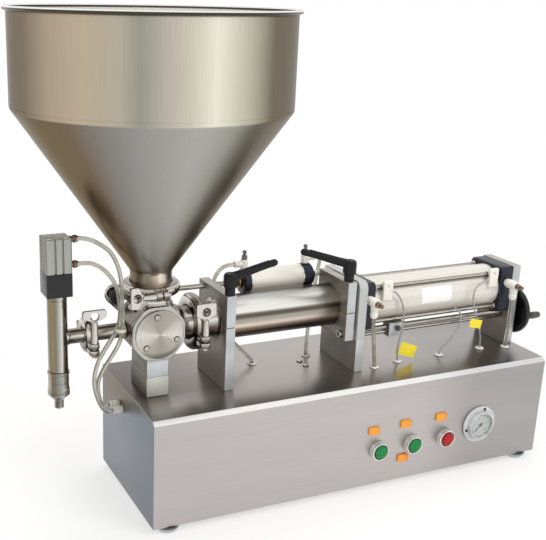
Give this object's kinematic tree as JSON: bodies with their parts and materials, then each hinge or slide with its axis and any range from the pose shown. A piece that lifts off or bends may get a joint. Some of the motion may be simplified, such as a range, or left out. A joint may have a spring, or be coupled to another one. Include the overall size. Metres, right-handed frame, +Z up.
{
  "type": "piston filler",
  "caption": "Bench-top pneumatic piston filler: cone hopper on a rotary three-way valve, product cylinder driven by an air cylinder, and a shut-off nozzle, on a stainless cabinet.",
  "frame": {"origin": "middle of the machine's outline, at the height that its feet stand on", "axes": "+X runs from the nozzle to the handwheel, +Y from the control panel to the back, +Z up"},
  "size_m": [0.8702, 0.3906, 0.7127],
  "materials": {
    "brushed_stainless": "brushed",
    "spun_stainless": "spun and brushed",
    "polished_stainless": "polished",
    "blasted_aluminium": "bead blasted",
    "anodised_tube": "clear anodised",
    "black_anodised": "black anodised",
    "black_steel": "black oxide",
    "black_plastic": "moulded, satin",
    "white_plastic": "moulded, satin",
    "nickelled_brass": "turned and nickelled",
    "green_lens": "glossy",
    "red_lens": "glossy",
    "natural_hose": "translucent, smooth",
    "white_ptfe": "turned"
  },
  "bodies": {
    "machine": {"cabinet_shell": "brushed_stainless", "bottom_cover": "brushed_stainless", "gauge_body": "polished_stainless", "valve_pedestal": "blasted_aluminium", "valve_body": "polished_stainless", "valve_cover": "brushed_stainless", "valve_actuator": "anodised_tube", "speed_valve_front": "nickelled_brass", "speed_valve_rear": "nickelled_brass", "hopper_clamp": "polished_stainless", "inlet_clamp": "polished_stainless", "outlet_clamp": "polished_stainless", "hopper": "spun_stainless", "outlet_pipe": "polished_stainless", "nozzle_body": "polished_stainless", "nozzle_coupling": "polished_stainless", "nozzle_tip": "polished_stainless", "nozzle_adapter": "black_anodised", "nozzle_actuator": "anodised_tube", "product_cylinder": "polished_stainless", "front_clamp_plate": "blasted_aluminium", "rear_clamp_plate": "blasted_aluminium", "cylinder_plate": "blasted_aluminium", "end_plate": "blasted_aluminium", "drive_front_cap": "black_anodised", "drive_rear_cap": "black_anodised", "drive_tube": "anodised_tube", "drive_elbow_front": "white_plastic", "drive_elbow_rear": "white_plastic", "sensor_front": "white_plastic", "sensor_rear": "white_plastic", "guide_rod": "polished_stainless", "nozzle_hose_a": "natural_hose", "nozzle_hose_b": "natural_hose", "actuator_hose_front": "natural_hose", "actuator_hose_rear": "natural_hose", "drive_hose_front": "natural_hose", "drive_hose_rear": "natural_hose"},
    "rotor": {"valve_rotor": "polished_stainless", "crank_arm": "polished_stainless"},
    "actuator_rod": {"actuator_rod": "polished_stainless"},
    "piston": {"product_piston": "white_ptfe", "piston_rod": "polished_stainless"},
    "nozzle_stem": {"nozzle_stem": "polished_stainless"},
    "screw": {"adjusting_screw": "black_steel"},
    "handle": {"crank_handle": "polished_stainless"},
    "slider": {"slider_block": "blasted_aluminium"},
    "lever_front": {"lever_front": "black_plastic"},
    "lever_rear": {"lever_rear": "black_plastic"},
    "button_left": {"button_left": "green_lens"},
    "button_middle": {"button_middle": "green_lens"},
    "button_right": {"button_right": "red_lens"},
    "needle": {"gauge_needle": "black_plastic"},
    "hopper_wing_nut": {"hopper_clamp_wing_nut": "polished_stainless"},
    "inlet_wing_nut": {"inlet_clamp_wing_nut": "polished_stainless"},
    "outlet_wing_nut": {"outlet_clamp_wing_nut": "polished_stainless"},
    "speed_knob_front": {"speed_knob_front": "nickelled_brass"},
    "speed_knob_rear": {"speed_knob_rear": "nickelled_brass"},
    "drive_knob_front": {"drive_knob_front": "nickelled_brass"},
    "drive_knob_rear": {"drive_knob_rear": "nickelled_brass"}
  },
  "joints": [
    {"name": "rotor_turn", "type": "hinge", "parent": "machine", "child": "rotor", "pos_m": [-0.2398, 0, 0.272], "axis": [0, 1, 0], "range_deg": [0, 90]},
    {"name": "actuator_stroke", "type": "slide", "parent": "machine", "child": "actuator_rod", "axis": [1, 0, 0], "range_m": [0, 0.078]},
    {"name": "piston_stroke", "type": "slide", "parent": "machine", "child": "piston", "axis": [1, 0, 0], "range_m": [0, 0.165]},
    {"name": "nozzle_open", "type": "slide", "parent": "machine", "child": "nozzle_stem", "axis": [0, 0, 1], "range_m": [0, 0.012]},
    {"name": "screw_turn", "type": "hinge", "parent": "machine", "child": "screw", "pos_m": [0.399, -0.02, 0.229], "axis": [1, 0, 0], "range_deg": [0, 28800]},
    {"name": "handle_spin", "type": "hinge", "parent": "screw", "child": "handle", "pos_m": [0.4126, -0.05395, 0.22722], "axis": [1, 0, 0], "continuous": true},
    {"name": "slider_travel", "type": "slide", "parent": "machine", "child": "slider", "axis": [1, 0, 0], "range_m": [0, 0.1601]},
    {"name": "lever_front_swing", "type": "hinge", "parent": "machine", "child": "lever_front", "pos_m": [-0.13455, -0.041, 0.32], "axis": [0, 0, 1], "range_deg": [-75, 75]},
    {"name": "lever_rear_swing", "type": "hinge", "parent": "machine", "child": "lever_rear", "pos_m": [0.06445, -0.04, 0.32], "axis": [0, 0, 1], "range_deg": [-75, 75]},
    {"name": "button_left_press", "type": "slide", "parent": "machine", "child": "button_left", "axis": [0, 1, 0], "range_m": [0, 0.003], "stiffness_N_per_m": 500},
    {"name": "button_middle_press", "type": "slide", "parent": "machine", "child": "button_middle", "axis": [0, 1, 0], "range_m": [0, 0.003], "stiffness_N_per_m": 500},
    {"name": "button_right_press", "type": "slide", "parent": "machine", "child": "button_right", "axis": [0, 1, 0], "range_m": [0, 0.003], "stiffness_N_per_m": 500},
    {"name": "needle_swing", "type": "hinge", "parent": "machine", "child": "needle", "pos_m": [0.2811, -0.112, 0.0793], "axis": [0, 1, 0], "range_deg": [0, 270], "stiffness_Nm_per_rad": 0.002},
    {"name": "hopper_wing_nut_spin", "type": "hinge", "parent": "machine", "child": "hopper_wing_nut", "pos_m": [-0.2698, -0.049, 0.3335], "axis": [1, 0, 0], "continuous": true},
    {"name": "inlet_wing_nut_spin", "type": "hinge", "parent": "machine", "child": "inlet_wing_nut", "pos_m": [-0.1748, -0.049, 0.29], "axis": [0, 0, 1], "continuous": true},
    {"name": "outlet_wing_nut_spin", "type": "hinge", "parent": "machine", "child": "outlet_wing_nut", "pos_m": [-0.3343, -0.033, 0.3], "axis": [0, 0, 1], "continuous": true},
    {"name": "speed_knob_front_turn", "type": "hinge", "parent": "machine", "child": "speed_knob_front", "pos_m": [-0.0733, 0.038, 0.355], "axis": [0, 0, 1], "range_deg": [0, 2880]},
    {"name": "speed_knob_rear_turn", "type": "hinge", "parent": "machine", "child": "speed_knob_rear", "pos_m": [0.03245, 0.038, 0.355], "axis": [0, 0, 1], "range_deg": [0, 2880]},
    {"name": "drive_knob_front_turn", "type": "hinge", "parent": "machine", "child": "drive_knob_front", "pos_m": [0.1041, -0.065, 0.285], "axis": [0, 1, 0], "range_deg": [0, 2880]},
    {"name": "drive_knob_rear_turn", "type": "hinge", "parent": "machine", "child": "drive_knob_rear", "pos_m": [0.37155, -0.065, 0.285], "axis": [0, 1, 0], "range_deg": [0, 2880]}
  ],
  "couplings": [
    {"joint": "actuator_stroke", "follows": "rotor_turn", "m_per_rad": 0.049656},
    {"joint": "slider_travel", "follows": "screw_turn", "m_per_rad": 0.00031831}
  ]
}
